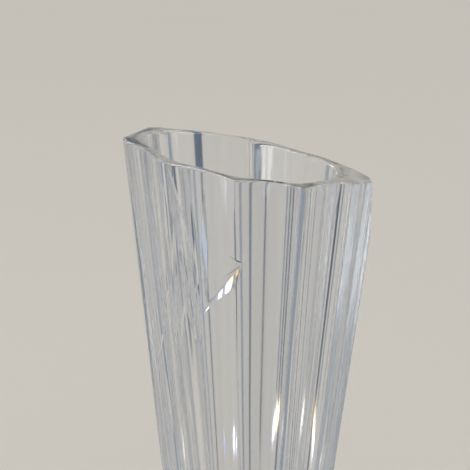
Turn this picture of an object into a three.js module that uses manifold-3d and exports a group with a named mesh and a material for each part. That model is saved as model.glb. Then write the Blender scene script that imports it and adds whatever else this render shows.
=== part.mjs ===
// Cut crystal vase: one heavy piece of clear glass, tall and flared, with a
// slanted mouth. Long hollow flutes are ground all the way up its outside, the
// ridges between them are split by slim leaf-shaped cuts, a cluster of fine miter
// cuts crosses the shoulder on the high side, and the bore is a smooth rounded
// cone that leaves a thick wall and a very thick foot.
//
// Frame: millimetres, +Z up, origin on the table at the middle of the footprint
// of the whole vase. The mouth's high lip is at -X, its low lip at +X.
import * as THREE from "three";
import { ConvexGeometry } from "three/addons/geometries/ConvexGeometry.js";
import { mergeVertices } from "three/addons/utils/BufferGeometryUtils.js";
import Module from "manifold-3d";

// ---- driving dimensions -------------------------------------------------

const RIM_HEIGHT = 288.6; // height of the mouth's slanted plane on the axis
const RIM_SLOPE = 0.1687; // fall of that plane for each millimetre towards +X

// Hollow flutes, anticlockwise seen from above, each from its own rim corner to
// the next one's. [corner x, corner y, lean, grinding radius]: lean is the
// flute's distance from the axis at the table as a share of that at the rim.
const FLUTES = [
  [-70.4, -6.5, 0.54, 110],
  [-46.4, -51.5, 0.49, 110],
  [-7.5, -70.5, 0.49, 130],
  [30.0, -60.0, 0.54, 95],
  [62.5, -18.5, 0.48, 60],
  [72.0, -2.0, 0.52, 120],
  [56.1, 28.5, 0.51, 130],
  [32.1, 55.5, 0.49, 150],
  [2.1, 70.5, 0.47, 260],
  [-56.9, 50.5, 0.52, 220],
];

// Leaf-shaped cuts along the ridges. Each starts at its tip and is deepest at
// its other end: [tip, deepest point, facing in degrees from +X, grinding radius].
const LEAF_CUTS = [
  [[-38.27, -40.88, 188], [-44.4, -49.02, 295], -129.1, 45],
  [[-49.06, -4.72, 120], [-67.17, -6.02, 300], -171.6, 60],
  [[-5.37, -52.3, 150], [-2.96, -31.1, 0], -97.2, 60],
  [[24.14, 40.76, 140], [30.78, 53.75, 285], 53.6, 60],
  [[2.42, 54.88, 170], [2.76, 29.72, 0], 88.1, 60],
  [[-40.98, 34.01, 130], [-54.19, 48.08, 298], 138.2, 60],
  [[-46.73, -4.55, 100], [-32.17, -3.33, 0], -171.8, 60],
  [[44.28, 22.05, 160], [26.18, 11.68, 0], 34.5, 60],
  [[67.89, -1.72, 246], [67.47, -1.92, 277], -1.2, 80],
];

// Miter cuts: long lens-shaped grooves left by a V-edged wheel. [start, end,
// outward direction, greatest width, half angle of the edge in degrees].
const MITERS = [
  [[-42.5, -51.1, 296], [-24.5, -49.3, 212.1], [-0.366, -0.923, -0.115], 6, 43],
  [[-29.7, -55.6, 280.4], [-25, -49.4, 214.9], [-0.42, -0.9, -0.115], 2.6, 45],
  [[-22.9, -60, 285], [-21.8, -51.5, 218.7], [-0.468, -0.876, -0.115], 4.2, 44],
  [[-41.5, -46.8, 257.4], [-43, -36.9, 219.7], [-0.608, -0.788, -0.095], 4, 43],
  [[-42.7, -38.8, 224.1], [-48.4, -16.6, 180.7], [-0.895, -0.434, -0.1], 3.4, 44],
  [[-42.4, -39.5, 223.1], [-38.7, -39.4, 187.7], [-0.944, -0.316, -0.099], 3.4, 44],
  [[-50.8, -33.7, 280.3], [-47.3, -29, 229.2], [-0.907, -0.41, -0.1], 6, 44],
  [[-44.9, -21.3, 173.6], [-41.3, -23, 123.8], [-0.872, -0.479, -0.1], 5, 44],
  [[29.9, -59.9, 282.5], [20, -39.1, 97], [0.4446, -0.887, -0.123], 3.1, 46],
  [[62.2, -18.4, 276.5], [31, -12.8, 25], [0.942, -0.3, -0.125], 6.6, 50],
  [[-7.3, -69.5, 283.5], [-5.6, -54.5, 168], [-0.105, -0.986, -0.132], 1.6, 46],
];

// Olive cuts: the same, left by a round-edged wheel. [start, end, outward
// direction, greatest width, edge radius].
const OLIVES = [
  [[-34.5, -49.6, 250], [-25.9, -46.7, 195], [-0.383, -0.917, -0.115], 7.5, 5],
];

// Straight V cuts, one along a ridge and stopped just under the mouth, one
// running out over a ridge. [start, end, outward direction, half angle in
// degrees, depth at the start, at the end].
const RIDGE_CUTS = [
  [[2.1, 70.12, 285.7], [2.36, 57.4, 190], [0.035, 0.991, -0.131], 52, 2.6, -0.2],
  [[-23.1, -50.4, 215.2], [-4.5, -65.45, 244.2], [-0.529, -0.841, -0.114], 65, 0.3, 3.3],
];

// Bore: radius against angle at the height of the rim plane on the axis, as a
// mean and four pairs of harmonics, and how it narrows on its way down.
const MOUTH_MEAN = 55.7;
const MOUTH_HARMONICS = [
  [-2.31, 0.59],
  [-3.74, -0.53],
  [0.05, 1.23],
  [-0.16, -0.01],
];
const BORE_TAPER_FROM = 34; // the straight taper starts this high
const BORE_TAPER_SHARE = 0.44; // bore size there, as a share of the mouth
const BORE_FLOOR = 28; // height of the inside floor
const BORE_FLOOR_CORNER = [
  // share of the mouth's size, height: the rounded corner above the floor
  [0.16, 28.3],
  [0.27, 29.6],
  [0.36, 32.6],
  [0.42, 37.4],
  [0.4576, 42],
];

const FOOT_RECESS_RADIUS = 19; // shallow dished recess under the foot
const FOOT_RECESS_DEPTH = 2.5;
const FOOT_BEVEL = 1.2; // height of the small bevel round the resting face

const BLANK_RADIUS = 74;
const BLANK_HEIGHT = 304;
const GRINDING_STEP = 4; // width of one flat strip on a ground surface
const BORE_SIDES = 72;
const WHEEL_STEP = 6; // length of one straight step along a miter or olive cut
const WHEEL_CLEARANCE = 7; // how far an edge profile reaches above the glass

// ---- booleans -----------------------------------------------------------

const wasm = await Module();
wasm.setup();

function solid(geometry, matrix = new THREE.Matrix4()) {
  const bare = geometry.clone();
  bare.deleteAttribute("normal");
  bare.deleteAttribute("uv");
  bare.applyMatrix4(matrix);
  const merged = mergeVertices(bare, 1e-3);
  const kept = [];
  const index = merged.index.array;
  for (let i = 0; i < index.length; i += 3) {
    const [a, b, c] = [index[i], index[i + 1], index[i + 2]];
    if (a !== b && b !== c && c !== a) kept.push(a, b, c);
  }
  return new wasm.Manifold(
    new wasm.Mesh({
      numProp: 3,
      vertProperties: new Float32Array(merged.attributes.position.array),
      triVerts: new Uint32Array(kept),
    }),
  );
}

function geometryOf(manifold) {
  const mesh = manifold.getMesh();
  const geometry = new THREE.BufferGeometry();
  geometry.setAttribute(
    "position",
    new THREE.BufferAttribute(new Float32Array(mesh.vertProperties), 3),
  );
  geometry.setIndex(new THREE.BufferAttribute(new Uint32Array(mesh.triVerts), 1));
  const flat = geometry.toNonIndexed();
  flat.computeVertexNormals();
  return flat;
}

// ---- grinding wheels ----------------------------------------------------

const rimHeightAt = (x) => RIM_HEIGHT - RIM_SLOPE * x;

// A long cylinder whose axis runs along `direction` through `centre`.
function wheel(centre, direction, radius) {
  const sides = Math.ceil((2 * Math.PI * radius) / GRINDING_STEP);
  const cylinder = new THREE.CylinderGeometry(radius, radius, 760, sides, 1);
  const turn = new THREE.Quaternion().setFromUnitVectors(
    new THREE.Vector3(0, 1, 0),
    direction,
  );
  return solid(
    cylinder,
    new THREE.Matrix4().compose(centre, turn, new THREE.Vector3(1, 1, 1)),
  );
}

// A flute passes through two neighbouring rim corners and leans in towards the
// foot; the wheel stands off the flat through the corners so that it cuts
// exactly that chord.
function flute(i) {
  const [ax, ay, lean, radius] = FLUTES[i];
  const [bx, by] = FLUTES[(i + 1) % FLUTES.length];
  const a = new THREE.Vector3(ax, ay, rimHeightAt(ax));
  const b = new THREE.Vector3(bx, by, rimHeightAt(bx));
  const run = new THREE.Vector2(bx - ax, by - ay);
  const length = run.length();
  run.divideScalar(length);
  const out = new THREE.Vector2(run.y, -run.x);
  const reach = (out.x * (ax + bx) + out.y * (ay + by)) / 2;
  const slope = (reach * (1 - lean)) / ((a.z + b.z) / 2);
  const rise = (b.z - a.z) / length;
  const normal = new THREE.Vector3(
    out.x + run.x * slope * rise,
    out.y + run.y * slope * rise,
    -slope,
  ).normalize();
  const middle = a.clone().add(b).multiplyScalar(0.5);
  const outward = new THREE.Vector2(middle.x, middle.y).normalize();
  const footReach =
    normal.dot(middle) / (normal.x * outward.x + normal.y * outward.y);
  const foot = new THREE.Vector3(
    outward.x * footReach,
    outward.y * footReach,
    0,
  );
  const along = foot.sub(middle).normalize();
  const square = normal.addScaledVector(along, -normal.dot(along)).normalize();
  const chordVector = b.clone().sub(a);
  const chord = chordVector
    .addScaledVector(along, -chordVector.dot(along))
    .length();
  const standOff = Math.sqrt(radius * radius - (chord * chord) / 4);
  return wheel(middle.addScaledVector(square, standOff), along, radius);
}

function leafCut([tip, deep, facing, radius]) {
  const p = new THREE.Vector3(...tip);
  const along = new THREE.Vector3(...deep).sub(p).normalize();
  const angle = THREE.MathUtils.degToRad(facing);
  const out = new THREE.Vector3(Math.cos(angle), Math.sin(angle), 0);
  out.addScaledVector(along, -out.dot(along)).normalize();
  return wheel(p.addScaledVector(out, radius), along, radius);
}

// Directions of a cut: along it, outward from the glass, and across it.
function cutFrame(start, end, outward) {
  const a = new THREE.Vector3(...start);
  const b = new THREE.Vector3(...end);
  const along = b.clone().sub(a).normalize();
  const out = new THREE.Vector3(...outward);
  out.addScaledVector(along, -out.dot(along)).normalize();
  const across = new THREE.Vector3().crossVectors(along, out);
  return { a, b, along, out, across, length: a.distanceTo(b) };
}

// A turned wheel whose edge has the given profile, [width from its middle
// plane, distance in from its edge], set so that it bites `depth` deep.
function edgeWheel([start, end, outward], profile, depth) {
  const f = cutFrame(start, end, outward);
  const radius = (f.length * f.length) / (8 * depth) + depth / 2;
  const points = [
    new THREE.Vector2(0, profile[0][0]),
    ...profile.map(([across, inward]) => new THREE.Vector2(radius - inward, across)),
    new THREE.Vector2(0, profile[profile.length - 1][0]),
  ];
  const steps = Math.ceil((2 * Math.PI * radius) / WHEEL_STEP);
  const turned = new THREE.LatheGeometry(points, steps);
  const centre = f.a
    .clone()
    .add(f.b)
    .multiplyScalar(0.5)
    .addScaledVector(f.out, radius - depth);
  const place = new THREE.Matrix4()
    .makeBasis(f.along, f.across, f.out)
    .setPosition(centre);
  if (place.determinant() < 0)
    place.makeBasis(f.along.clone().negate(), f.across, f.out).setPosition(centre);
  turned.applyMatrix4(place);
  return facingOut(solid(turned), turned);
}

function miter(cut) {
  const slope = Math.tan(THREE.MathUtils.degToRad(cut[4]));
  const depth = cut[3] / 2 / slope;
  const inward = depth + WHEEL_CLEARANCE;
  return edgeWheel(
    cut,
    [
      [-inward * slope, inward],
      [0, 0],
      [inward * slope, inward],
    ],
    depth,
  );
}

function olive(cut) {
  const [, , , width, edge] = cut;
  const profile = [[-edge, edge + WHEEL_CLEARANCE]];
  for (let i = 0; i <= 12; i++) {
    const angle = (Math.PI * i) / 12;
    profile.push([-edge * Math.cos(angle), edge - edge * Math.sin(angle)]);
  }
  profile.push([edge, edge + WHEEL_CLEARANCE]);
  return edgeWheel(cut, profile, edge - Math.sqrt(edge * edge - (width * width) / 4));
}

function ridgeCut([start, end, outward, half, startDepth, endDepth]) {
  const f = cutFrame(start, end, outward);
  const height = WHEEL_CLEARANCE + 2;
  const points = [];
  for (const [p, depth] of [
    [f.a, startDepth],
    [f.b, endDepth],
  ]) {
    const width = (height + depth) * Math.tan(THREE.MathUtils.degToRad(half));
    points.push(p.clone().addScaledVector(f.out, -depth));
    for (const side of [-width, width])
      points.push(
        p.clone().addScaledVector(f.out, height).addScaledVector(f.across, side),
      );
  }
  return solid(new ConvexGeometry(points));
}

// A turned profile may come out inside out; this is the same body either way.
const facingOut = (m, g) => (m.volume() > 0 ? m : solid(flipped(g)));
function flipped(geometry) {
  const g = geometry.clone();
  const index = g.index.array;
  for (let i = 0; i < index.length; i += 3)
    [index[i + 1], index[i + 2]] = [index[i + 2], index[i + 1]];
  return g;
}

// ---- blank, mouth, bore and foot ----------------------------------------

const upright = new THREE.Matrix4().makeRotationX(Math.PI / 2);

let body = solid(
  new THREE.CylinderGeometry(BLANK_RADIUS, BLANK_RADIUS, BLANK_HEIGHT, 48),
  new THREE.Matrix4()
    .makeTranslation(0, 0, BLANK_HEIGHT / 2)
    .multiply(upright),
);
for (let i = 0; i < FLUTES.length; i++) body = body.subtract(flute(i));
for (const cut of LEAF_CUTS) body = body.subtract(leafCut(cut));
for (const cut of RIDGE_CUTS) body = body.subtract(ridgeCut(cut));
for (const cut of MITERS) body = body.subtract(miter(cut));
for (const cut of OLIVES) body = body.subtract(olive(cut));

// The block above the slanted mouth.
const tilt = new THREE.Matrix4().makeRotationY(Math.atan(RIM_SLOPE));
body = body.subtract(
  solid(
    new THREE.BoxGeometry(400, 400, 100),
    new THREE.Matrix4()
      .makeTranslation(0, 0, RIM_HEIGHT)
      .multiply(tilt)
      .multiply(new THREE.Matrix4().makeTranslation(0, 0, 50)),
  ),
);

// Bore: a turned profile whose rings are stretched to the mouth's outline.
const boreShare = (z) =>
  BORE_TAPER_SHARE +
  ((1 - BORE_TAPER_SHARE) * (z - BORE_TAPER_FROM)) /
    (RIM_HEIGHT - BORE_TAPER_FROM);
const mouthRadius = (angle) =>
  MOUTH_HARMONICS.reduce(
    (sum, [c, s], k) =>
      sum + c * Math.cos((k + 1) * angle) + s * Math.sin((k + 1) * angle),
    MOUTH_MEAN,
  );
const boreProfile = [
  [0, BORE_FLOOR],
  ...BORE_FLOOR_CORNER,
  [boreShare(120), 120],
  [boreShare(205), 205],
  [boreShare(330), 330],
  [0, 330],
];
const bore = new THREE.LatheGeometry(
  boreProfile.map(([r, z]) => new THREE.Vector2(r, z)),
  BORE_SIDES,
);
bore.applyMatrix4(upright);
{
  const p = bore.attributes.position;
  for (let i = 0; i < p.count; i++) {
    const column = Math.floor(i / boreProfile.length);
    const angle = (2 * Math.PI * (column % BORE_SIDES)) / BORE_SIDES;
    const [share, z] = boreProfile[i % boreProfile.length];
    const r = share * mouthRadius(angle);
    p.setXYZ(i, r * Math.cos(angle), r * Math.sin(angle), z);
  }
}
body = body.subtract(facingOut(solid(bore), bore));

// Dished recess under the foot, which leaves a flat ring to stand on.
const recess = new THREE.LatheGeometry(
  [
    [0, -1],
    [FOOT_RECESS_RADIUS + 0.6, -1],
    [FOOT_RECESS_RADIUS, 0],
    [FOOT_RECESS_RADIUS * 0.82, FOOT_RECESS_DEPTH * 0.55],
    [FOOT_RECESS_RADIUS * 0.55, FOOT_RECESS_DEPTH * 0.88],
    [0, FOOT_RECESS_DEPTH],
  ].map(([r, z]) => new THREE.Vector2(r, z)),
  40,
);
recess.applyMatrix4(upright);
body = body.subtract(facingOut(solid(recess), recess));

// Small bevel round the resting face: a turned cone keeps what is inside it.
const footReachMax = 37;
const bevel = new THREE.LatheGeometry(
  [
    [0, -5],
    [footReachMax - 6 - FOOT_BEVEL, -5],
    [footReachMax - FOOT_BEVEL - 1.8, 0],
    [footReachMax + 3.4, FOOT_BEVEL * 3],
    [BLANK_RADIUS + 20, 80],
    [BLANK_RADIUS + 20, 320],
    [0, 320],
  ].map(([r, z]) => new THREE.Vector2(r, z)),
  96,
);
bevel.applyMatrix4(upright);
body = body.intersect(facingOut(solid(bevel), bevel));

// ---- the part -----------------------------------------------------------

const vase = new THREE.Group();
const vaseBody = new THREE.Mesh(
  geometryOf(body),
  new THREE.MeshStandardMaterial({
    color: 0xdde4e6,
    roughness: 0.03,
    metalness: 0,
    transparent: true,
    opacity: 0.35,
  }),
);
vaseBody.name = "vase_body";
vase.add(vaseBody);

export default vase;
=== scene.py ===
import math

import bpy
import numpy as np
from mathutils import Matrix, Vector

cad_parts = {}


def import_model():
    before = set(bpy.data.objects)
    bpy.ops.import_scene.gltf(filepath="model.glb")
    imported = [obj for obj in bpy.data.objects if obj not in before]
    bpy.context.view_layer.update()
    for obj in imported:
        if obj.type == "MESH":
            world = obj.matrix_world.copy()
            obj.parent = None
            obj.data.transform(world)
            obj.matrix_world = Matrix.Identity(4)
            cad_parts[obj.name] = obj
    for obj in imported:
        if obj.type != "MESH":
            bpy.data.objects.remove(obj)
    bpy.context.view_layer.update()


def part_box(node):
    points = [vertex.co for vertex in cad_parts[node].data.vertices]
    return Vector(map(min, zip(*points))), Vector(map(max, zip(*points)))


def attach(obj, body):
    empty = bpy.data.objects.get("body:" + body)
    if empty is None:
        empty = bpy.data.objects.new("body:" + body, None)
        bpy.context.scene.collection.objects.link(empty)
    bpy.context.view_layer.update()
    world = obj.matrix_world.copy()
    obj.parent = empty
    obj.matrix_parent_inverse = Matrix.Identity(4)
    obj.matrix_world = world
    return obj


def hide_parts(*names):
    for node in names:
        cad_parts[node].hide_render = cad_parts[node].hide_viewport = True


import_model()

NODE_LO, NODE_HI = (list(map(float, v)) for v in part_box("vase_body"))
MM = 0.001

# ---------------------------------------------------------------------------
# The vase's shape, in millimetres, in the frame of the CAD node
# ---------------------------------------------------------------------------
RIM_HEIGHT, RIM_SLOPE = 288.6, 0.1687
FLUTES = [
    (-70.4, -6.5, 0.54, 110),
    (-46.4, -51.5, 0.49, 110),
    (-7.5, -70.5, 0.49, 130),
    (30.0, -60.0, 0.54, 95),
    (62.5, -18.5, 0.48, 60),
    (72.0, -2.0, 0.52, 120),
    (56.1, 28.5, 0.51, 130),
    (32.1, 55.5, 0.49, 150),
    (2.1, 70.5, 0.47, 260),
    (-56.9, 50.5, 0.52, 220),
]
LEAF_CUTS = [  # the ridge each lies on (before flute number), tip, deepest point, facing, radius
    (1, (-38.27, -40.88, 188), (-44.4, -49.02, 295), -129.1, 45),
    (0, (-49.06, -4.72, 120), (-67.17, -6.02, 300), -171.6, 60),
    (2, (-5.37, -52.3, 150), (-2.96, -31.1, 0), -97.2, 60),
    (7, (24.14, 40.76, 140), (30.78, 53.75, 285), 53.6, 60),
    (8, (2.42, 54.88, 170), (2.76, 29.72, 0), 88.1, 60),
    (9, (-40.98, 34.01, 130), (-54.19, 48.08, 298), 138.2, 60),
    (0, (-46.73, -4.55, 100), (-32.17, -3.33, 0), -171.8, 60),
    (6, (44.28, 22.05, 160), (26.18, 11.68, 0), 34.5, 60),
    (5, (67.89, -1.72, 246), (67.47, -1.92, 277), -1.2, 80),
]
MOUTH = (55.7, ((-2.31, 0.59), (-3.74, -0.53), (0.05, 1.23), (-0.16, -0.01)))
TAPER_FROM, TAPER_SHARE, BORE_FLOOR = 34.0, 0.44, 28.0
FLOOR_CORNER = [(0.4576, 42.0), (0.42, 37.4), (0.36, 32.6), (0.27, 29.6), (0.16, 28.3), (0.0, 28.0)]
RECESS_R, RECESS_D = 19.0, 2.5

# V-shaped miter cuts, each ground by a wheel: start, end, which way the face looks, width, half angle.
MITERS = [
    ((-42.5, -51.1, 296.0), (-24.5, -49.3, 212.1), (-0.366, -0.923, -0.115), 6.0, 43),
    ((-29.7, -55.6, 280.4), (-25.0, -49.4, 214.9), (-0.420, -0.900, -0.115), 2.6, 45),
    ((-22.9, -60.0, 285.0), (-21.8, -51.5, 218.7), (-0.468, -0.876, -0.115), 4.2, 44),
    ((-41.5, -46.8, 257.4), (-43.0, -36.9, 219.7), (-0.608, -0.788, -0.095), 4.0, 43),
    ((-42.7, -38.8, 224.1), (-48.4, -16.6, 180.7), (-0.895, -0.434, -0.100), 3.4, 44),
    ((-42.4, -39.5, 223.1), (-38.7, -39.4, 187.7), (-0.944, -0.316, -0.099), 3.4, 44),
    ((-50.8, -33.7, 280.3), (-47.3, -29.0, 229.2), (-0.907, -0.410, -0.100), 6.0, 44),
    ((-44.9, -21.3, 173.6), (-41.3, -23.0, 123.8), (-0.872, -0.479, -0.100), 5.0, 44),
    ((29.9, -59.9, 282.5), (20.0, -39.1, 97.0), (0.4446, -0.887, -0.123), 3.1, 46),
    ((62.2, -18.4, 276.5), (31.0, -12.8, 25.0), (0.942, -0.300, -0.125), 6.6, 50),
    ((-7.3, -69.5, 283.5), (-5.6, -54.5, 168.0), (-0.105, -0.986, -0.132), 1.6, 46),
]
# Olive cut: a round-edged wheel: start, end, facing, width, edge radius.
OLIVES = [
    ((-34.5, -49.6, 250.0), (-25.9, -46.7, 195.0), (-0.383, -0.917, -0.115), 7.5, 5.0),
]
# Straight V cuts, along a ridge or running out over one: start, end, facing, half angle, depth at each end.
RIDGE_CUTS = [
    ((2.1, 70.12, 285.7), (2.36, 57.4, 190.0), (0.035, 0.991, -0.131), 52, 2.6, -0.2),
    ((-23.1, -50.4, 215.2), (-4.5, -65.45, 244.2), (-0.529, -0.841, -0.114), 65, 0.3, 3.3),
]

RIDGE_SOFT = 0.40      # how far the polish softens a ridge
RIM_OUT, RIM_IN = 1.5, 1.7   # fire-polished edges of the mouth
RIM_WAVE = 0.9         # the rim stands this much higher in the middle of a flute
HEEL = 1.6


def unit(v):
    return v / np.linalg.norm(v)


def rim_at(x):
    return RIM_HEIGHT - RIM_SLOPE * x


def wheels():
    """Each ground surface as a cylinder: (point on its axis, axis direction, radius)."""
    out, n = [], len(FLUTES)
    for i, (ax, ay, lean, radius) in enumerate(FLUTES):
        bx, by = FLUTES[(i + 1) % n][:2]
        a, b = np.array([ax, ay, rim_at(ax)]), np.array([bx, by, rim_at(bx)])
        run = (b - a)[:2]
        length = np.linalg.norm(run)
        run = run / length
        o = np.array([run[1], -run[0]])
        reach = o @ (a + b)[:2] / 2
        slope = reach * (1 - lean) / ((a[2] + b[2]) / 2)
        rise = (b[2] - a[2]) / length
        normal = unit(np.array([*(o + run * slope * rise), -slope]))
        mid = (a + b) / 2
        az = unit(mid[:2])
        foot = np.array([*(az * (normal @ mid) / (normal[:2] @ az)), 0.0])
        along = unit(foot - mid)
        square = unit(normal - (normal @ along) * along)
        chord = np.linalg.norm((b - a) - ((b - a) @ along) * along)
        out.append((mid + square * math.sqrt(radius**2 - chord**2 / 4), along, radius))
    for _, tip, deep, facing, radius in LEAF_CUTS:
        p = np.array(tip, float)
        along = unit(np.array(deep, float) - p)
        f = math.radians(facing)
        o = np.array([math.cos(f), math.sin(f), 0.0])
        o = unit(o - (o @ along) * along)
        out.append((p + o * radius, along, radius))
    return out


WHEELS = wheels()


def reach_all(theta, t, lift=0.0):
    """Distance from the axis to every ground surface, at angles theta, on the slanted level t (0 table, 1 rim)."""
    theta = np.asarray(theta, float)
    d = np.stack([np.cos(theta), np.sin(theta), -t * RIM_SLOPE * np.cos(theta)], -1)
    o = np.zeros(theta.shape + (3,))
    o[..., 2] = t * (RIM_HEIGHT + lift)
    out = []
    for c, axis, radius in WHEELS:
        w = o - c
        w = w - (w @ axis)[..., None] * axis
        q = d - (d @ axis)[..., None] * axis
        a, b, cc = (q * q).sum(-1), 2 * (q * w).sum(-1), (w * w).sum(-1) - radius**2
        disc = b * b - 4 * a * cc
        r = np.where(disc > 0, (-b - np.sqrt(np.maximum(disc, 0))) / (2 * a), 1e3)
        out.append(np.where((r > 0) & (disc > 0), r, 1e3))
    return np.array(out)


def smin(a, b, k):
    h = np.maximum(k - np.abs(a - b), 0) / k
    return np.minimum(a, b) - h * h * k / 4


def outer(theta, t, lift=0.0, k=RIDGE_SOFT):
    r = np.sort(reach_all(theta, t, lift), axis=0)[:4]
    out = r[0]
    for other in r[1:]:
        out = smin(out, other, k)
    return out


def edges_at(t):
    """For each ridge: the angle where the flute before it ends and where the flute after it starts."""
    th = np.linspace(-math.pi, math.pi, 14401)
    r = reach_all(th, t)
    own = r.argmin(0)
    n = len(FLUTES)
    out = []
    for j in range(n):
        before, after = (j - 1) % n, j
        cuts = [n + k for k, c in enumerate(LEAF_CUTS) if c[0] == j]
        mid = math.atan2(FLUTES[j][1], FLUTES[j][0])
        rel = (th - mid + math.pi) % (2 * math.pi) - math.pi
        near = np.abs(rel) < 0.5
        kb = np.where(near & (own == before))[0]
        ka = np.where(near & (own == after))[0]
        left = rel[kb].max()
        right = rel[ka].min()

        def cross(at, s, other_set):
            i = np.argmin(np.abs(rel - at))
            lo, hi = (i, i + 1) if s > 0 else (i - 1, i)
            hi = min(hi, len(th) - 1)
            o = own[hi] if s > 0 else own[lo]
            me = before if s > 0 else after
            g0, g1 = r[me][lo] - r[o][lo], r[me][hi] - r[o][hi]
            f = 0.5 if g0 == g1 else min(max(g0 / (g0 - g1), 0), 1)
            return at + (f if s > 0 else f - 1) * (th[1] - th[0])

        left, right = cross(left, 1, cuts), cross(right, -1, cuts)
        out.append((mid + left, mid + max(right, left)))
    return out


RIDGE_SIDE = (3.2, 1.7, 0.9, 0.4)          # mm each side of an edge
INSIDE = (0.07, 0.2, 0.36, 0.5, 0.64, 0.8, 0.93)
FLUTE_STEPS = 14


def columns_at(t):
    """Angles of every column on level t."""
    e = edges_at(t)
    n = len(e)
    ang, wave = [], []
    for j in range(n):
        left, right = e[j]
        r = float(outer(np.array([(left + right) / 2]), t)[0])
        g = 0.55 / r
        if right - left < g:
            m = (left + right) / 2
            left, right = m - g / 2, m + g / 2
        prev_right = e[j - 1][1]
        nxt_left = e[(j + 1) % n][0]
        while nxt_left < right:
            nxt_left += 2 * math.pi
        while prev_right > left:
            prev_right -= 2 * math.pi
        room = min(1.0, 0.28 * min(left - prev_right, nxt_left - right) * r / RIDGE_SIDE[0])
        for d in RIDGE_SIDE:
            ang.append(left - d * room / r); wave.append(0.0)
        ang.append(left); wave.append(0.0)
        for f in INSIDE:
            ang.append(left + (right - left) * f); wave.append(0.0)
        ang.append(right); wave.append(0.0)
        for d in reversed(RIDGE_SIDE):
            ang.append(right + d * room / r); wave.append(0.0)
        a0 = ang[-1]
        nr = float(outer(np.array([nxt_left]), t)[0])
        nn_right = e[(j + 1) % n][1]
        while nn_right < nxt_left:
            nn_right += 2 * math.pi
        if nn_right - nxt_left < 0.55 / nr:
            nxt_left = (nxt_left + nn_right) / 2 - 0.275 / nr
        n2 = e[(j + 2) % n][0]
        while n2 < nn_right:
            n2 += 2 * math.pi
        room2 = min(1.0, 0.28 * min(nxt_left - right, n2 - nn_right) * nr / RIDGE_SIDE[0])
        a1 = nxt_left - RIDGE_SIDE[0] * room2 / nr
        for k in range(1, FLUTE_STEPS):
            ang.append(a0 + (a1 - a0) * k / FLUTE_STEPS); wave.append(0.0)
    return np.array(ang)


def rim_wave(theta):
    """Small rise of the rim in the middle of each flute."""
    e = edges_at(1.0)
    n = len(e)
    out = np.full(theta.shape, -0.25)
    for j in range(n):
        a, b = e[j][1], e[(j + 1) % n][0]
        width = (b - a) % (2 * math.pi)
        u = ((theta - a) % (2 * math.pi)) / width
        amount = RIM_WAVE * min(1.0, (width * 65) / 40)
        out = np.where(u <= 1, -0.25 + amount * np.sin(np.pi * np.clip(u, 0, 1)) ** 1.3, out)
    return out


def bore_radius(theta):
    r = np.full(theta.shape, MOUTH[0])
    for k, (c, s) in enumerate(MOUTH[1], 1):
        r = r + c * np.cos(k * theta) + s * np.sin(k * theta)
    return r


K = (1 - TAPER_SHARE) / (RIM_HEIGHT - TAPER_FROM)


def share(z):
    return TAPER_SHARE + K * (z - TAPER_FROM)


rng = np.random.default_rng(11)
WAVES = [(int(k), float(m), float(p), float(q), float(a)) for k, m, p, q, a in zip(
    rng.integers(2, 9, 14), rng.uniform(0.6, 3.4, 14), rng.uniform(0, 6.28, 14), rng.uniform(0, 6.28, 14), rng.uniform(0.3, 1.0, 14))]


def ripple(theta, z):
    """The moulded inside isn't quite true: slow unevenness, in millimetres."""
    out = np.zeros(np.broadcast(theta, z).shape)
    for k, m, p, q, a in WAVES:
        out = out + a * np.cos(k * theta + p) * np.cos(m * z / 40 + q) / (1 + 0.25 * k)
    return 0.02 * out


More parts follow.
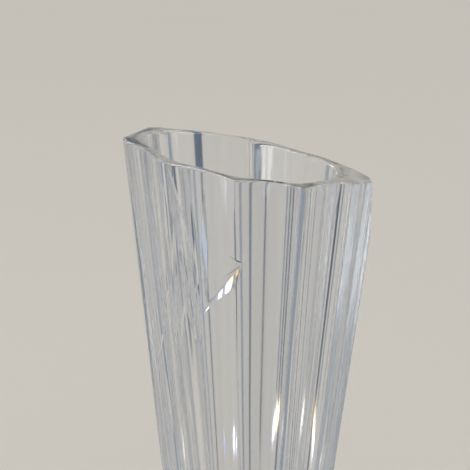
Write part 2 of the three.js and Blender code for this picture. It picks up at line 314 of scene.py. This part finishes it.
def build_vase():
    rows = []
    ts = np.concatenate([
        np.linspace(0.0, 1.0, 150)[1:-1],
    ])
    top_cols = columns_at(1.0)
    wave = rim_wave(top_cols)
    foot_cols = columns_at(0.0)
    m = len(top_cols)

    def ring(theta, r, z):
        return np.stack([r * np.cos(theta), r * np.sin(theta), np.broadcast_to(z, r.shape)], -1)

    # underside, from the middle outwards
    for f in (0.12, 0.3, 0.48, 0.64, 0.78, 0.88, 0.95, 0.985):
        rows.append(ring(foot_cols, np.full(m, RECESS_R * f), RECESS_D * (1 - f**2.4)))
    rows.append(ring(foot_cols, np.full(m, RECESS_R), 0.04))
    rows.append(ring(foot_cols, np.full(m, RECESS_R + 0.35), 0.0))

    def wall(theta, t, lift):
        r = outer(theta, t, lift)
        z = t * (RIM_HEIGHT + lift - RIM_SLOPE * r * np.cos(theta))
        cone = 34.0 + 1.78 * z
        return np.where(z < 12, smin(r, cone, 1.2), r), z

    r0, _ = wall(foot_cols, 0.0, 0.0)
    for f in (0.3, 0.6, 0.85):
        rows.append(ring(foot_cols, RECESS_R + 0.35 + (r0 - HEEL - RECESS_R - 0.35) * f, 0.0))
    for deg in (90, 72, 54, 36, 18, 0):
        a = math.radians(deg)
        t = HEEL * (1 - math.sin(a)) / RIM_HEIGHT
        r, _ = wall(foot_cols, t, 0.0)
        rows.append(ring(foot_cols, r - HEEL * (1 - math.cos(a)), np.full(m, HEEL * (1 - math.sin(a)))))
    # outside wall
    t0, t1 = HEEL / RIM_HEIGHT, 1 - RIM_OUT / RIM_HEIGHT
    for f in ts:
        t = t0 + (t1 - t0) * f
        cols = columns_at(t)
        r, z = wall(cols, t, wave * t)
        rows.append(ring(cols, r, z))
    # outer edge of the mouth
    zr = None
    for deg in (0, 15, 30, 45, 60, 75, 90):
        a = math.radians(deg)
        t = 1 - RIM_OUT * (1 - math.sin(a)) / RIM_HEIGHT
        r, z = wall(top_cols, t, wave * t)
        rows.append(ring(top_cols, r - RIM_OUT * (1 - math.cos(a)), z))
    r_out = r - RIM_OUT
    # inner edge
    b = bore_radius(top_cols)

    def bore_at(drop):
        c = TAPER_SHARE + K * (RIM_HEIGHT + wave - drop - TAPER_FROM)
        r = b * c / (1 + b * K * RIM_SLOPE * np.cos(top_cols))
        return r, RIM_HEIGHT + wave - drop - RIM_SLOPE * r * np.cos(top_cols)

    r_in, z_in = bore_at(0.0)
    r_in = r_in + RIM_IN
    for f in (0.12, 0.3, 0.5, 0.7, 0.88):
        r = r_out + (r_in - r_out) * f
        z = RIM_HEIGHT + wave - RIM_SLOPE * r * np.cos(top_cols) + 0.22 * math.sin(math.pi * f)
        rows.append(ring(top_cols, r, z))
    for deg in (90, 75, 60, 45, 30, 15, 0):
        a = math.radians(deg)
        r, z = bore_at(RIM_IN * (1 - math.sin(a)))
        r = r + RIM_IN * (1 - math.cos(a))
        rows.append(ring(top_cols, r, z))
    # bore
    r_top, z_top = bore_at(RIM_IN)
    for f in np.linspace(0, 1, 72)[1:]:
        z = z_top * (1 - f) + 42.0 * f
        fade = np.clip((z_top - z) / 25, 0, 1) * np.clip((z - 42) / 20, 0, 1)
        rows.append(ring(top_cols, b * share(z) + ripple(top_cols, z) * fade, z))
    # rounded floor
    pts = np.array([(share(47.0), 47.0)] + FLOOR_CORNER + [(-0.16, 28.3)])
    for i in range(1, len(pts) - 2):
        p0, p1, p2, p3 = pts[i - 1], pts[i], pts[i + 1], pts[i + 2]
        for s in np.linspace(0, 1, 5)[1:]:
            q = 0.5 * ((2 * p1) + (p2 - p0) * s + (2 * p0 - 5 * p1 + 4 * p2 - p3) * s**2 + (3 * p1 - p0 - 3 * p2 + p3) * s**3)
            if q[0] > 0.012:
                rows.append(ring(top_cols, b * q[0], np.full(m, q[1])))
    verts = np.concatenate([[[0, 0, RECESS_D]], *rows, [[0, 0, BORE_FLOOR]]])
    faces = []
    nr = len(rows)
    for j in range(m):
        k = (j + 1) % m
        faces.append((0, 1 + k, 1 + j))
        last = 1 + (nr - 1) * m
        faces.append((last + j, last + k, len(verts) - 1))
    for i in range(nr - 1):
        a, b2 = 1 + i * m, 1 + (i + 1) * m
        for j in range(m):
            k = (j + 1) % m
            faces.append((a + j, a + k, b2 + k, b2 + j))
    return verts * MM, faces


verts, faces = build_vase()
mesh = bpy.data.meshes.new("vase_glass")
mesh.from_pydata(verts.tolist(), [], faces)
mesh.validate()
mesh.polygons.foreach_set("use_smooth", [True] * len(mesh.polygons))
mesh.update()
vase = bpy.data.objects.new("vase_glass", mesh)
bpy.context.scene.collection.objects.link(vase)

def cut_mesh(name, verts_mm, faces):
    me = bpy.data.meshes.new(name)
    me.from_pydata([tuple(MM * c for c in v) for v in verts_mm], [], faces)
    me.update()
    o = bpy.data.objects.new(name, me)
    bpy.context.scene.collection.objects.link(o)
    return o


def wheel_cutter(name, a, b, facing, section, depth, steps=26):
    """The part of a grinding wheel that bites: `section` (across, out) swept round the wheel's arc."""
    a, b = np.array(a, float), np.array(b, float)
    along = unit(b - a)
    n = np.array(facing, float)
    n = unit(n - (n @ along) * along)
    side = np.cross(along, n)
    length = np.linalg.norm(b - a)
    radius = (length**2 / 4 + depth**2) / (2 * depth)
    centre = (a + b) / 2 + n * (radius - depth)
    reach = math.asin(min(1.0, length / 2 / radius)) * 1.35
    vs, fs, m = [], [], len(section)
    for i in range(steps + 1):
        phi = -reach + 2 * reach * i / steps
        spoke = -n * math.cos(phi) + along * math.sin(phi)
        for across, out in section:
            vs.append(tuple(centre + spoke * (radius - out) + side * across))
    for i in range(steps):
        for j in range(m):
            k = (j + 1) % m
            fs.append((i * m + j, i * m + k, (i + 1) * m + k, (i + 1) * m + j))
    fs.append(tuple(range(m))[::-1])
    fs.append(tuple(steps * m + j for j in range(m)))
    o = cut_mesh(name, vs, fs)
    import bmesh
    bm = bmesh.new()
    bm.from_mesh(o.data)
    bmesh.ops.recalc_face_normals(bm, faces=bm.faces)
    bm.to_mesh(o.data)
    bm.free()
    return o


def v_section(half, height):
    w = height * math.tan(math.radians(half))
    return [(0.0, 0.0), (w, height), (-w, height)]


def round_section(edge, height, steps=14):
    pts = []
    for i in range(steps + 1):
        a = math.pi * i / steps
        pts.append((-edge * math.cos(a), edge - edge * math.sin(a)))
    return pts + [(edge, height), (-edge, height)]


def grind(target, cutters):
    for o in cutters:
        mod = target.modifiers.new(o.name, "BOOLEAN")
        mod.operation = "DIFFERENCE"
        mod.solver = "MANIFOLD"
        mod.object = o
    bpy.context.view_layer.update()
    done = bpy.data.meshes.new_from_object(target.evaluated_get(bpy.context.evaluated_depsgraph_get()))
    target.modifiers.clear()
    done.materials.clear()
    done.polygons.foreach_set("material_index", [0] * len(done.polygons))
    target.data = done
    for o in cutters:
        me = o.data
        bpy.data.objects.remove(o)
        bpy.data.meshes.remove(me)
    return done


def wedge_cutter(name, a, b, facing, half, deep_a, deep_b, height=9.0):
    """A straight V-edged cut whose depth changes evenly from one end to the other."""
    a, b = np.array(a, float), np.array(b, float)
    n = np.array(facing, float)
    along = unit(b - a)
    n = unit(n - (n @ along) * along)
    side = np.cross(along, n)
    vs = []
    for p, deep in ((a, deep_a), (b, deep_b)):
        w = (height + deep) * math.tan(math.radians(half))
        vs += [tuple(p - n * deep), tuple(p + n * height + side * w), tuple(p + n * height - side * w)]
    fs = [(0, 1, 2), (5, 4, 3), (0, 3, 4, 1), (1, 4, 5, 2), (2, 5, 3, 0)]
    o = cut_mesh(name, vs, fs)
    import bmesh
    bm = bmesh.new()
    bm.from_mesh(o.data)
    bmesh.ops.recalc_face_normals(bm, faces=bm.faces)
    bm.to_mesh(o.data)
    bm.free()
    return o


cutters = []
for i, (a, b, facing, half, deep_a, deep_b) in enumerate(RIDGE_CUTS):
    cutters.append(wedge_cutter(f"ridge_{i}", a, b, facing, half, deep_a, deep_b))
for i, (a, b, facing, width, half) in enumerate(MITERS):
    depth = width / 2 / math.tan(math.radians(half))
    cutters.append(wheel_cutter(f"miter_{i}", a, b, facing, v_section(half, depth + 7), depth))
for i, (a, b, facing, width, edge) in enumerate(OLIVES):
    depth = edge - math.sqrt(edge**2 - width**2 / 4)
    cutters.append(wheel_cutter(f"olive_{i}", a, b, facing, round_section(edge, edge + 7), depth))
mesh = grind(vase, cutters)
mesh.name = "vase_glass"
mesh.polygons.foreach_set("use_smooth", [True] * len(mesh.polygons))
mesh.set_sharp_from_angle(angle=math.radians(24))
mesh.update()


def wall_normals(p):
    """How far inside the ground wall each point is, and which way the wall faces there."""
    gaps, faces_to = [], []
    for c, axis, radius in WHEELS:
        w = c - p
        w = w - (w @ axis)[:, None] * axis
        d = np.linalg.norm(w, axis=1)
        gaps.append(d - radius)
        faces_to.append(w / d[:, None])
    gaps, faces_to = np.array(gaps), np.array(faces_to)
    order = np.argsort(gaps, axis=0)[:3]
    idx = np.arange(len(p))
    g = [gaps[order[i], idx] for i in range(3)]
    v = [faces_to[order[i], idx] for i in range(3)]
    value, normal = g[0], v[0]
    for other, way in zip(g[1:], v[1:]):
        h = np.maximum(RIDGE_SOFT - np.abs(value - other), 0) / RIDGE_SOFT
        near = (value <= other)[:, None]
        ha = h[:, None] / 2
        normal = np.where(near, (1 - ha) * normal + ha * way, ha * normal + (1 - ha) * way)
        value = np.minimum(value, other) - h * h * RIDGE_SOFT / 4
    return value, normal / np.linalg.norm(normal, axis=1)[:, None]


def bore_normals(p):
    theta, z = np.arctan2(p[:, 1], p[:, 0]), p[:, 2]
    r = np.hypot(p[:, 0], p[:, 1])

    def size(th, zz):
        # the unevenness fades out towards the mouth and the floor
        top = RIM_HEIGHT - RIM_SLOPE * p[:, 0] - RIM_IN
        fade = np.clip((top - zz) / 25, 0, 1) * np.clip((zz - 42) / 20, 0, 1)
        return bore_radius(th) * share(zz) + ripple(th, zz) * fade

    d_th = (size(theta + 1e-3, z) - size(theta - 1e-3, z)) / 2e-3
    d_z = (size(theta, z + 0.05) - size(theta, z - 0.05)) / 0.1
    er = np.stack([np.cos(theta), np.sin(theta), np.zeros_like(theta)], -1)
    et = np.stack([-np.sin(theta), np.cos(theta), np.zeros_like(theta)], -1)
    grad = er - (d_th / np.maximum(r, 1))[:, None] * et - d_z[:, None] * np.array([0, 0, 1.0])
    return r - size(theta, z), -grad / np.linalg.norm(grad, axis=1)[:, None]


def true_normals(me):
    """Shade the ground wall and the bore by their own curvature rather than by averaged faces."""
    n = len(me.vertices)
    co = np.empty(n * 3)
    me.vertices.foreach_get("co", co)
    co = co.reshape(-1, 3) / MM
    nl = len(me.loops)
    lv = np.empty(nl, dtype=np.int32)
    me.loops.foreach_get("vertex_index", lv)
    normals = np.empty(nl * 3, dtype=np.float32)
    me.corner_normals.foreach_get("vector", normals)
    normals = normals.reshape(-1, 3).astype(float)
    totals = np.empty(len(me.polygons), dtype=np.int32)
    me.polygons.foreach_get("loop_total", totals)
    centres = np.empty(len(me.polygons) * 3, dtype=np.float32)
    me.polygons.foreach_get("center", centres)
    centres = centres.reshape(-1, 3).astype(float) / MM
    face_gap, face_hole = wall_normals(centres)[0], bore_normals(centres)[0]
    gap, wall = wall_normals(co)
    hole, bore = bore_normals(co)
    z = co[:, 2]
    on_wall = (np.abs(gap) < 0.03) & (z > HEEL + 0.01)
    on_bore = (np.abs(hole) < 0.04) & (z > 41.9)
    on_wall_face = np.repeat(np.abs(face_gap) < 0.06, totals)
    on_bore_face = np.repeat(np.abs(face_hole) < 0.08, totals)
    for mask, faces_in, field in ((on_wall, on_wall_face, wall), (on_bore, on_bore_face, bore)):
        pick = mask[lv] & faces_in
        normals[pick] = field[lv[pick]]
    me.normals_split_custom_set([tuple(v) for v in normals.tolist()])


true_normals(mesh)

# ---------------------------------------------------------------------------
# Materials
# ---------------------------------------------------------------------------


def srgb(r, g, b):
    return tuple(c / 12.92 if c <= 0.04045 else ((c + 0.055) / 1.055) ** 2.4 for c in (r / 255, g / 255, b / 255))


def node(tree, kind, **values):
    n = tree.nodes.new(kind)
    for key, value in values.items():
        if key in n.inputs:
            n.inputs[key].default_value = value
        else:
            setattr(n, key, value)
    return n


def crystal():
    mat = bpy.data.materials.new("clear_crystal")
    mat.use_nodes = True
    t = mat.node_tree
    t.nodes.clear()
    out = node(t, "ShaderNodeOutputMaterial")
    p = node(t, "ShaderNodeBsdfPrincipled")
    p.inputs["Base Color"].default_value = (0.936, 0.942, 0.958, 1)
    p.inputs["Transmission Weight"].default_value = 1.0
    p.inputs["IOR"].default_value = 1.54
    p.inputs["Specular IOR Level"].default_value = 0.5
    coord = node(t, "ShaderNodeTexCoord")
    # polish: nearly perfect, with faint wheel lines along the flutes and dull scratches on the foot
    stretch = node(t, "ShaderNodeMapping")
    stretch.inputs["Scale"].default_value = (60, 60, 8)
    lines = node(t, "ShaderNodeTexNoise")
    lines.inputs["Scale"].default_value = 1.0
    lines.inputs["Detail"].default_value = 0.0
    t.links.new(coord.outputs["Object"], stretch.inputs["Vector"])
    t.links.new(stretch.outputs["Vector"], lines.inputs["Vector"])
    xyz = node(t, "ShaderNodeSeparateXYZ")
    t.links.new(coord.outputs["Object"], xyz.inputs["Vector"])
    foot = node(t, "ShaderNodeMapRange")
    foot.inputs["From Min"].default_value = 0.0002
    foot.inputs["From Max"].default_value = 0.0006
    foot.inputs["To Min"].default_value = 1.0
    foot.inputs["To Max"].default_value = 0.0
    t.links.new(xyz.outputs["Z"], foot.inputs["Value"])
    scratch = node(t, "ShaderNodeTexNoise")
    scratch.inputs["Scale"].default_value = 900.0
    scratch.inputs["Detail"].default_value = 4.0
    t.links.new(coord.outputs["Object"], scratch.inputs["Vector"])
    worn = node(t, "ShaderNodeMath", operation="MULTIPLY")
    t.links.new(foot.outputs["Result"], worn.inputs[0])
    t.links.new(scratch.outputs["Fac"], worn.inputs[1])
    rough = node(t, "ShaderNodeMath", operation="MULTIPLY_ADD")
    t.links.new(worn.outputs[0], rough.inputs[0])
    rough.inputs[1].default_value = 0.35
    polish = node(t, "ShaderNodeMapRange")
    polish.inputs["From Min"].default_value = 0.3
    polish.inputs["From Max"].default_value = 0.7
    polish.inputs["To Min"].default_value = 0.06
    polish.inputs["To Max"].default_value = 0.11
    t.links.new(lines.outputs["Fac"], polish.inputs["Value"])
    t.links.new(polish.outputs["Result"], rough.inputs[2])
    t.links.new(rough.outputs[0], p.inputs["Roughness"])
    t.links.new(p.outputs["BSDF"], out.inputs["Surface"])
    return mat


mesh.materials.append(crystal())
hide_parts("vase_body")
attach(vase, "root")

# ---------------------------------------------------------------------------
# Stage: floor, glowing cards that paint what the glass shows, light, camera
# ---------------------------------------------------------------------------
WALL = srgb(199, 195, 187)


def floor():
    me = bpy.data.meshes.new("stage_floor")
    s = 9.0
    me.from_pydata([(-s, -s, -0.0002), (s, -s, -0.0002), (s, s, -0.0002), (-s, s, -0.0002)], [], [(0, 1, 2, 3)])
    o = bpy.data.objects.new("stage_floor", me)
    bpy.context.scene.collection.objects.link(o)
    mat = bpy.data.materials.new("stage_floor")
    mat.use_nodes = True
    t = mat.node_tree
    p = next(n for n in t.nodes if n.type == "BSDF_PRINCIPLED")
    p.inputs["Roughness"].default_value = 1.0
    p.inputs["Specular IOR Level"].default_value = 0.0
    coord = node(t, "ShaderNodeTexCoord")
    noise = node(t, "ShaderNodeTexNoise")
    noise.inputs["Scale"].default_value = 2.2
    noise.inputs["Detail"].default_value = 3.0
    mix = node(t, "ShaderNodeMixRGB")
    mix.inputs["Color1"].default_value = (*[c * 1.0 for c in FLOOR_COLOUR], 1)
    mix.inputs["Color2"].default_value = (*[c * 1.02 for c in FLOOR_COLOUR], 1)
    t.links.new(coord.outputs["Object"], noise.inputs["Vector"])
    t.links.new(noise.outputs["Fac"], mix.inputs["Fac"])
    t.links.new(mix.outputs["Color"], p.inputs["Base Color"])
    me.materials.append(mat)
    return o


WORLD_LEVEL = 0.80
FLOOR_COLOUR = [0.95 * c / WORLD_LEVEL for c in WALL]
floor()


def backdrop():
    """A round studio wall far behind everything, lit as evenly as the floor."""
    vs, fs, n = [], [], 72
    for i in range(n):
        a = 2 * math.pi * i / n
        for z in (-0.01, 9.0):
            vs.append((8.8 * math.cos(a), 8.8 * math.sin(a), z))
        fs.append((2 * i, 2 * ((i + 1) % n), 2 * ((i + 1) % n) + 1, 2 * i + 1))
    me = bpy.data.meshes.new("stage_backdrop")
    me.from_pydata(vs, [], fs)
    o = bpy.data.objects.new("stage_backdrop", me)
    bpy.context.scene.collection.objects.link(o)
    mat = bpy.data.materials.new("stage_backdrop")
    mat.use_nodes = True
    t = mat.node_tree
    t.nodes.clear()
    e = node(t, "ShaderNodeEmission")
    e.inputs["Color"].default_value = (*WALL, 1)
    m = node(t, "ShaderNodeOutputMaterial")
    t.links.new(e.outputs[0], m.inputs["Surface"])
    mat.cycles.emission_sampling = "NONE"
    me.materials.append(mat)
    o.visible_diffuse = False
    o.visible_shadow = False


backdrop()


def card(name, az, width, radius, z0, z1, colour, strength=1.0, steps=24, mat_from=None):
    """A curved card standing round the vase that glows at a fixed colour and lights nothing, seen only in
    reflections and through the glass: painted reflections of the room.
    """
    vs, fs = [], []
    for i in range(steps + 1):
        a = math.radians(az - width / 2 + width * i / steps)
        for z in (z0, z1):
            vs.append((radius * math.cos(a), radius * math.sin(a), z))
    for i in range(steps):
        fs.append((2 * i, 2 * i + 1, 2 * i + 3, 2 * i + 2))
    if mat_from:
        # the same glowing card laid on along the floor towards the vase; only the glass sees it, so it paints the
        # floor darker there
        n = len(vs)
        for i in range(steps + 1):
            a = math.radians(az - width / 2 + width * i / steps)
            for r in (mat_from, radius):
                vs.append((r * math.cos(a), r * math.sin(a), 0.0006))
        for i in range(steps):
            fs.append((n + 2 * i, n + 2 * i + 1, n + 2 * i + 3, n + 2 * i + 2))
    me = bpy.data.meshes.new(name)
    me.from_pydata(vs, [], fs)
    return glowing_sheet(name, me, colour, strength)


# a plain glow of fixed colour, hidden from the camera, from light falling on other things and from shadows: the
# card lights nothing
def glowing_sheet(name, me, colour, strength):
    o = bpy.data.objects.new(name, me)
    bpy.context.scene.collection.objects.link(o)
    mat = bpy.data.materials.new(name)
    mat.use_nodes = True
    t = mat.node_tree
    t.nodes.clear()
    e = node(t, "ShaderNodeEmission")
    e.inputs["Color"].default_value = (*colour, 1)
    e.inputs["Strength"].default_value = strength
    m = node(t, "ShaderNodeOutputMaterial")
    t.links.new(e.outputs[0], m.inputs["Surface"])
    mat.cycles.emission_sampling = "NONE"
    me.materials.append(mat)
    o.visible_camera = False
    o.visible_diffuse = False
    o.visible_shadow = False
    return o


def patch(name, az0, near0, az1, near1, depth, colour, strength, steps=12):
    """A narrow glowing card lying slantwise on the floor, with the same visibility as the standing ones."""
    vs = []
    for i in range(steps + 1):
        f = i / steps
        a = math.radians(az0 + (az1 - az0) * f)
        for r in (near0 + (near1 - near0) * f, near0 + (near1 - near0) * f + depth):
            vs.append((r * math.cos(a), r * math.sin(a), 0.0012))
    me = bpy.data.meshes.new(name)
    me.from_pydata(vs, [], [(2 * i, 2 * i + 1, 2 * i + 3, 2 * i + 2) for i in range(steps)])
    return glowing_sheet(name, me, colour, strength)


def ceiling(name, x, y, z, sx, sy, colour, strength=1.0):
    """A level glowing card overhead, with the same visibility as the standing ones."""
    me = bpy.data.meshes.new(name)
    me.from_pydata([(x - sx, y - sy, z), (x + sx, y - sy, z), (x + sx, y + sy, z), (x - sx, y + sy, z)], [], [(3, 2, 1, 0)])
    return glowing_sheet(name, me, colour, strength)


BLUE = srgb(96, 108, 122)
GREY = srgb(70, 72, 76)
SLATE = srgb(138, 147, 157)
MIST = srgb(164, 169, 174)
SKY = srgb(202, 215, 230)
# glowing dark bars and pale gaps that light nothing: painted reflections of a room with a window
R, H = 0.42, 0.42
card("bar_300", 300, 9, R, 0.0, H, GREY, mat_from=0.15)
card("bar_312", 312, 15, R, 0.0, H, SLATE, mat_from=0.15)
card("bar_330", 330, 16, R, 0.0, H, SLATE, mat_from=0.15)
card("bar_002", 0, 20, R, 0.0, H, SLATE, mat_from=0.15)
card("bar_024", 24, 8, R, 0.0, H, MIST, mat_from=0.15)
card("bar_043", 43, 9, R, 0.0, H, srgb(80, 90, 104), mat_from=0.15)
card("bar_062", 58, 7, R, 0.0, H, SLATE)
card("bar_100", 99.5, 4.5, R, 0.0, H, BLUE, mat_from=0.15)
card("bar_118", 121, 6, R, 0.0, H, SLATE, mat_from=0.15)
card("bar_146", 144, 16, R, 0.0, H, MIST, mat_from=0.15)
card("bar_146b", 147, 5, 0.415, 0.0, H, BLUE, mat_from=0.15)
card("bar_167", 168, 9, R, 0.0, H, BLUE)
card("bar_180", 183, 5, R, 0.0, H, SLATE)
card("sky_205", 206, 30, R, 0.0, H, SKY, 0.9)
card("bar_236", 234, 12, R, 0.0, H, GREY, mat_from=0.15)
# a glowing card in place of a window: it paints the window reflections and glints in the glass
card("window", 238, 16, 0.41, 0.268, 0.40, srgb(244, 249, 252), 12.0)
card("bar_272", 274, 22, R, 0.0, H, SLATE, mat_from=0.15)
# a painted patch of sun on the floor: a glowing sheet seen only through the glass that paints the glint on the cut
# facet; its warm and cool ends paint the rainbow fringes that dispersion gives
patch("painted_sun_glint", 47, 0.352, 68, 0.318, 0.040, srgb(255, 253, 248), 3.2)
patch("painted_glint_warm_fringe", 42, 0.366, 47, 0.352, 0.040, srgb(255, 205, 105), 2.2)
patch("painted_glint_cool_fringe", 68, 0.318, 71, 0.313, 0.040, srgb(150, 175, 255), 1.4)
# glowing overhead cards, a dark one and two painted windows, seen only in the glass
ceiling("ceiling_dark", 0, 0, 0.8, 0.9, 0.9, GREY)
ceiling("ceiling_window_a", -0.45, -0.35, 0.78, 0.16, 0.3, srgb(244, 249, 252), 6.0)
ceiling("ceiling_window_b", 0.4, 0.1, 0.78, 0.1, 0.3, srgb(244, 249, 252), 4.0)


def world():
    w = bpy.data.worlds.new("studio")
    bpy.context.scene.world = w
    w.use_nodes = True
    t = w.node_tree
    t.nodes.clear()
    out = node(t, "ShaderNodeOutputWorld")
    bg = node(t, "ShaderNodeBackground")
    bg.inputs["Color"].default_value = (1, 1, 1, 1)
    bg.inputs["Strength"].default_value = WORLD_LEVEL
    t.links.new(bg.outputs[0], out.inputs["Surface"])
    return w


world()

light = bpy.data.lights.new("overhead", "AREA")
light.shape = "RECTANGLE"
light.size, light.size_y = 1.6, 1.2
light.energy = 6.0
light.color = (1.0, 0.985, 0.96)
lamp = bpy.data.objects.new("overhead", light)
lamp.location = (-0.9, -0.5, 2.3)
lamp.rotation_euler = (Vector((0, 0, 0.2)) - Vector(lamp.location)).to_track_quat("-Z", "Y").to_euler()
bpy.context.scene.collection.objects.link(lamp)
lamp.visible_camera = False

cam_data = bpy.data.cameras.new("camera")
cam = bpy.data.objects.new("camera", cam_data)
bpy.context.scene.collection.objects.link(cam)
bpy.context.scene.camera = cam
cam_data.sensor_width = 36.0
cam_data.lens = 36.0 * (0.9 / 0.00055) / 470.0
cam_data.clip_start, cam_data.clip_end = 0.01, 60.0
ELEV = math.radians(12.8)
target = Vector((-6.85, -1.5, 245.5)) * MM
back = Vector((0, -math.cos(ELEV), math.sin(ELEV)))
cam.location = target + back * 0.9
cam.rotation_mode = "QUATERNION"
cam.rotation_quaternion = (-back).to_track_quat("-Z", "Y")

sc = bpy.context.scene
sc.view_settings.view_transform = "Standard"
sc.view_settings.look = "None"
sc.cycles.max_bounces = 32
sc.cycles.transmission_bounces = 32
sc.cycles.glossy_bounces = 16
sc.cycles.diffuse_bounces = 4
sc.cycles.transparent_max_bounces = 16
sc.cycles.sample_clamp_indirect = 6.0
